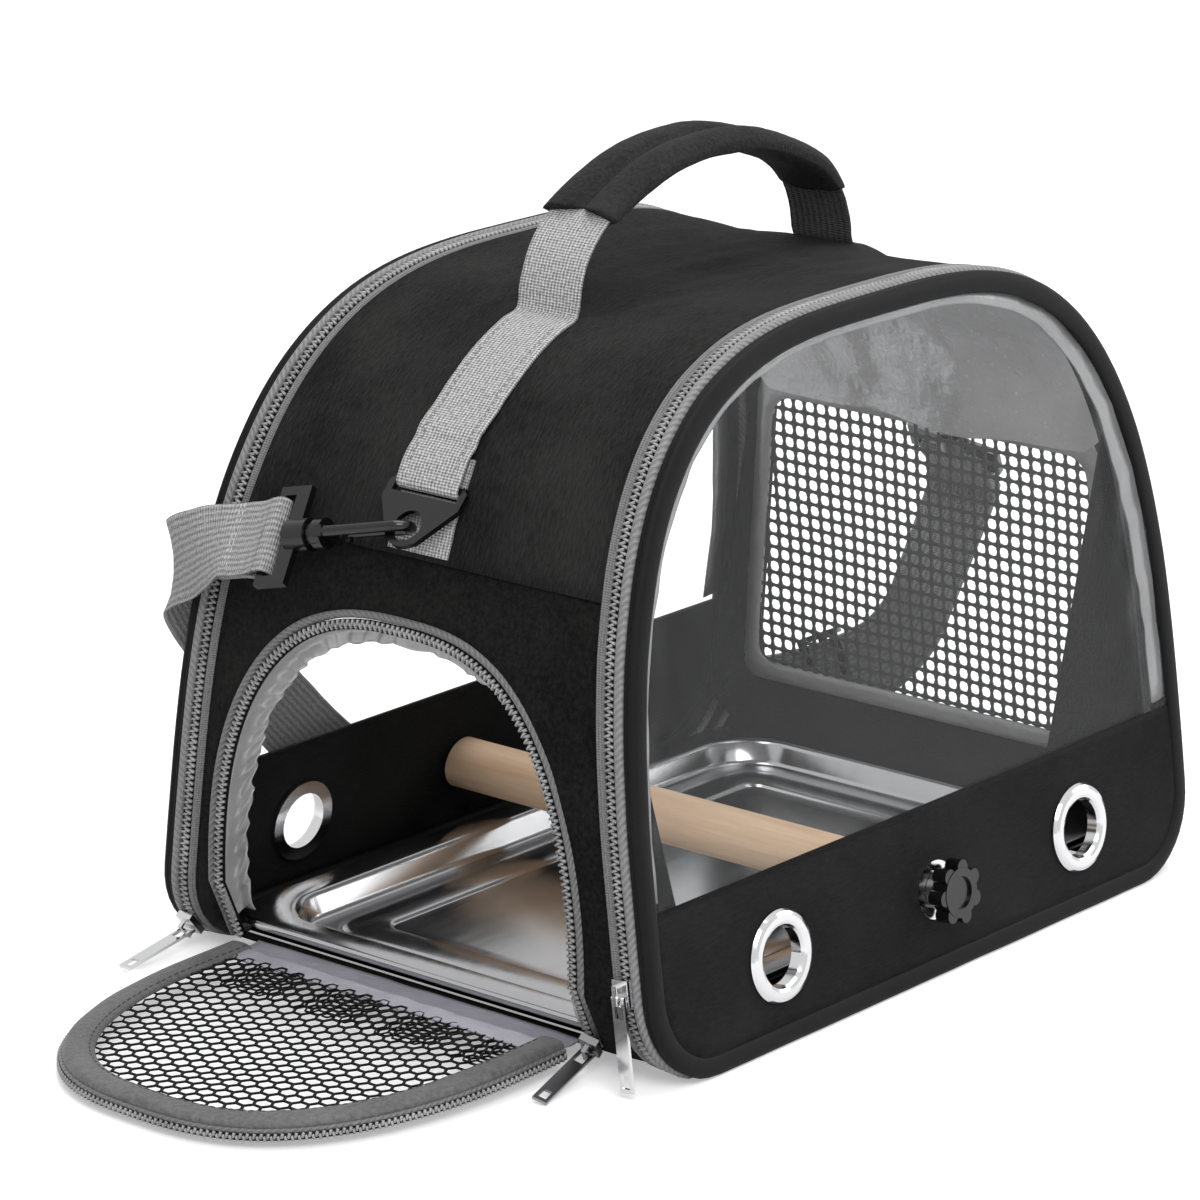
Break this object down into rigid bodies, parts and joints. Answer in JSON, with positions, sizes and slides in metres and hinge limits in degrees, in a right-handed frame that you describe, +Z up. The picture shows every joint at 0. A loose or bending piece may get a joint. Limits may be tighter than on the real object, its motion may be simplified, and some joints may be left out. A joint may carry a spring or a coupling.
{
  "type": "bird travel carrier",
  "caption": "Arched soft carrier for a pet bird with clear zip-off sides, a drop-down mesh door, steel tray, wooden perch, handle and strap.",
  "frame": {"origin": "middle of the underside, on the floor", "axes": "+X along the clear arch panels towards the mesh end, +Y from the front panel to the back panel, +Z up; the mesh door opens towards -X"},
  "size_m": [0.6137, 0.3289, 0.3685],
  "materials": {
    "shell_fabric": "matt woven",
    "binding": "matt",
    "grey_tape": "matt ribbed",
    "zip_coil": "satin",
    "piping": "satin",
    "lining": "satin, wrinkled",
    "window_film": "clear and glossy",
    "hoop_wire": "satin",
    "base_board": "matt",
    "stainless": "satin, bright at the rim",
    "chrome": "polished",
    "dark_metal": "satin",
    "perch_wood": "fine, unvarnished",
    "black_plastic": "satin",
    "mesh": "matt open net",
    "flap_binding": "matt, grained",
    "webbing": "coarse weave",
    "strap_webbing": "ribbed weave",
    "handle_wrap": "matt padded"
  },
  "bodies": {
    "shell": {"bottom_panel": "shell_fabric", "left_end_wall": "shell_fabric", "roof_panel": "shell_fabric", "right_end_wall": "shell_fabric", "front_band": "shell_fabric", "back_band": "shell_fabric", "front_rim": "binding", "back_rim": "binding", "front_zip_tape": "grey_tape", "back_zip_tape": "grey_tape", "front_zip_coil": "zip_coil", "back_zip_coil": "zip_coil", "door_frame_coil": "zip_coil", "front_piping": "piping", "back_piping": "piping", "door_piping": "piping", "roof_lining": "lining", "door_lining": "lining", "door_hinge_strip": "lining", "front_window": "window_film", "back_window": "window_film", "front_hoop_wire": "hoop_wire", "back_hoop_wire": "hoop_wire", "base_board": "base_board", "steel_tray": "stainless", "front_grommets": "chrome", "back_grommets": "chrome", "knob_washers": "chrome", "perch_studs": "chrome", "perch_dowel": "perch_wood", "perch_washers": "black_plastic", "left_strap_frame": "black_plastic", "right_strap_frame": "black_plastic", "strap_slide": "black_plastic", "end_mesh": "mesh", "end_mesh_binding": "flap_binding", "handle_webbing": "webbing", "ring_anchors": "webbing", "shoulder_strap": "strap_webbing", "handle_grip": "handle_wrap"},
    "door": {"door_binding": "flap_binding", "door_mesh": "mesh", "door_flap_coil": "zip_coil", "door_mesh_hem": "lining"},
    "front_knob": {"front_knob": "black_plastic"},
    "back_knob": {"back_knob": "black_plastic"},
    "front_slider": {"front_zip_slider": "chrome"},
    "front_pull": {"front_zip_pull": "chrome"},
    "back_slider": {"back_zip_slider": "chrome"},
    "back_pull": {"back_zip_pull": "chrome"},
    "door_slider": {"door_zip_slider": "dark_metal"},
    "door_pull": {"door_zip_pull": "dark_metal"},
    "left_ring": {"left_ring": "black_plastic"},
    "right_ring": {"right_ring": "black_plastic"},
    "left_hook": {"left_hook": "black_plastic"},
    "right_hook": {"right_hook": "black_plastic"},
    "left_gate": {"left_hook_gate": "black_plastic"},
    "right_gate": {"right_hook_gate": "black_plastic"}
  },
  "joints": [
    {"name": "door_hinge", "type": "hinge", "parent": "shell", "child": "door", "pos_m": [-0.199, 0.004, 0.01], "axis": [0, 1, 0], "range_deg": [0, 93]},
    {"name": "front_knob_turn", "type": "hinge", "parent": "shell", "child": "front_knob", "pos_m": [0, -0.14502, 0.04], "axis": [0, -0.9923, 0.1236], "continuous": true},
    {"name": "back_knob_turn", "type": "hinge", "parent": "shell", "child": "back_knob", "pos_m": [0, 0.14502, 0.04], "axis": [0, 0.9923, 0.1236], "continuous": true},
    {"name": "front_zip_slide", "type": "slide", "parent": "shell", "child": "front_slider", "axis": [0, 0.1236, 0.9923], "range_m": [0, 0.06]},
    {"name": "front_pull_swing", "type": "hinge", "parent": "front_slider", "child": "front_pull", "pos_m": [-0.2063, -0.13122, 0.04441], "axis": [0, 0.9923, -0.1236], "range_deg": [0, 140]},
    {"name": "back_zip_corner", "type": "hinge", "parent": "shell", "child": "back_slider", "pos_m": [-0.159, 0.13164, 0.041], "axis": [0, 0.9923, 0.1236], "range_deg": [0, 38]},
    {"name": "back_pull_swing", "type": "hinge", "parent": "back_slider", "child": "back_pull", "pos_m": [-0.1942, 0.13493, 0.00937], "axis": [0, 1, 0], "range_deg": [0, 50]},
    {"name": "door_zip_corner", "type": "hinge", "parent": "shell", "child": "door_slider", "pos_m": [-0.159, -0.1045, 0.041], "axis": [0, 1, 0], "range_deg": [0, 38]},
    {"name": "door_pull_swing", "type": "hinge", "parent": "door_slider", "child": "door_pull", "pos_m": [-0.19427, -0.10395, 0.00944], "axis": [-0.2198, 0.9397, 0.262], "range_deg": [0, 50]},
    {"name": "left_ring_play", "type": "hinge", "parent": "shell", "child": "left_ring", "pos_m": [-0.17553, 0, 0.23972], "axis": [0, 1, 0], "range_deg": [-2, 1]},
    {"name": "right_ring_play", "type": "hinge", "parent": "shell", "child": "right_ring", "pos_m": [0.17553, 0, 0.23972], "axis": [0, -1, 0], "range_deg": [-2, 1]},
    {"name": "left_hook_swivel", "type": "hinge", "parent": "shell", "child": "left_hook", "pos_m": [-0.19867, 0.05566, 0.2119], "axis": [-0.1438, 0.9663, -0.2133], "range_deg": [-6, 40]},
    {"name": "right_hook_swivel", "type": "hinge", "parent": "shell", "child": "right_hook", "pos_m": [0.22301, 0.01412, 0.17869], "axis": [-0.5857, -0.2451, 0.7726], "range_deg": [-6, 40]},
    {"name": "left_gate_spring", "type": "hinge", "parent": "left_hook", "child": "left_gate", "pos_m": [-0.19046, 0.03568, 0.2143], "axis": [-0.3469, -0.2511, -0.9037], "range_deg": [0, 9], "stiffness_Nm_per_rad": 0.02, "springref_deg": -17.19},
    {"name": "right_gate_spring", "type": "hinge", "parent": "right_hook", "child": "right_gate", "pos_m": [0.20625, 0.01095, 0.19216], "axis": [0.1525, 0.9029, 0.402], "range_deg": [0, 9], "stiffness_Nm_per_rad": 0.02, "springref_deg": -17.19}
  ]
}
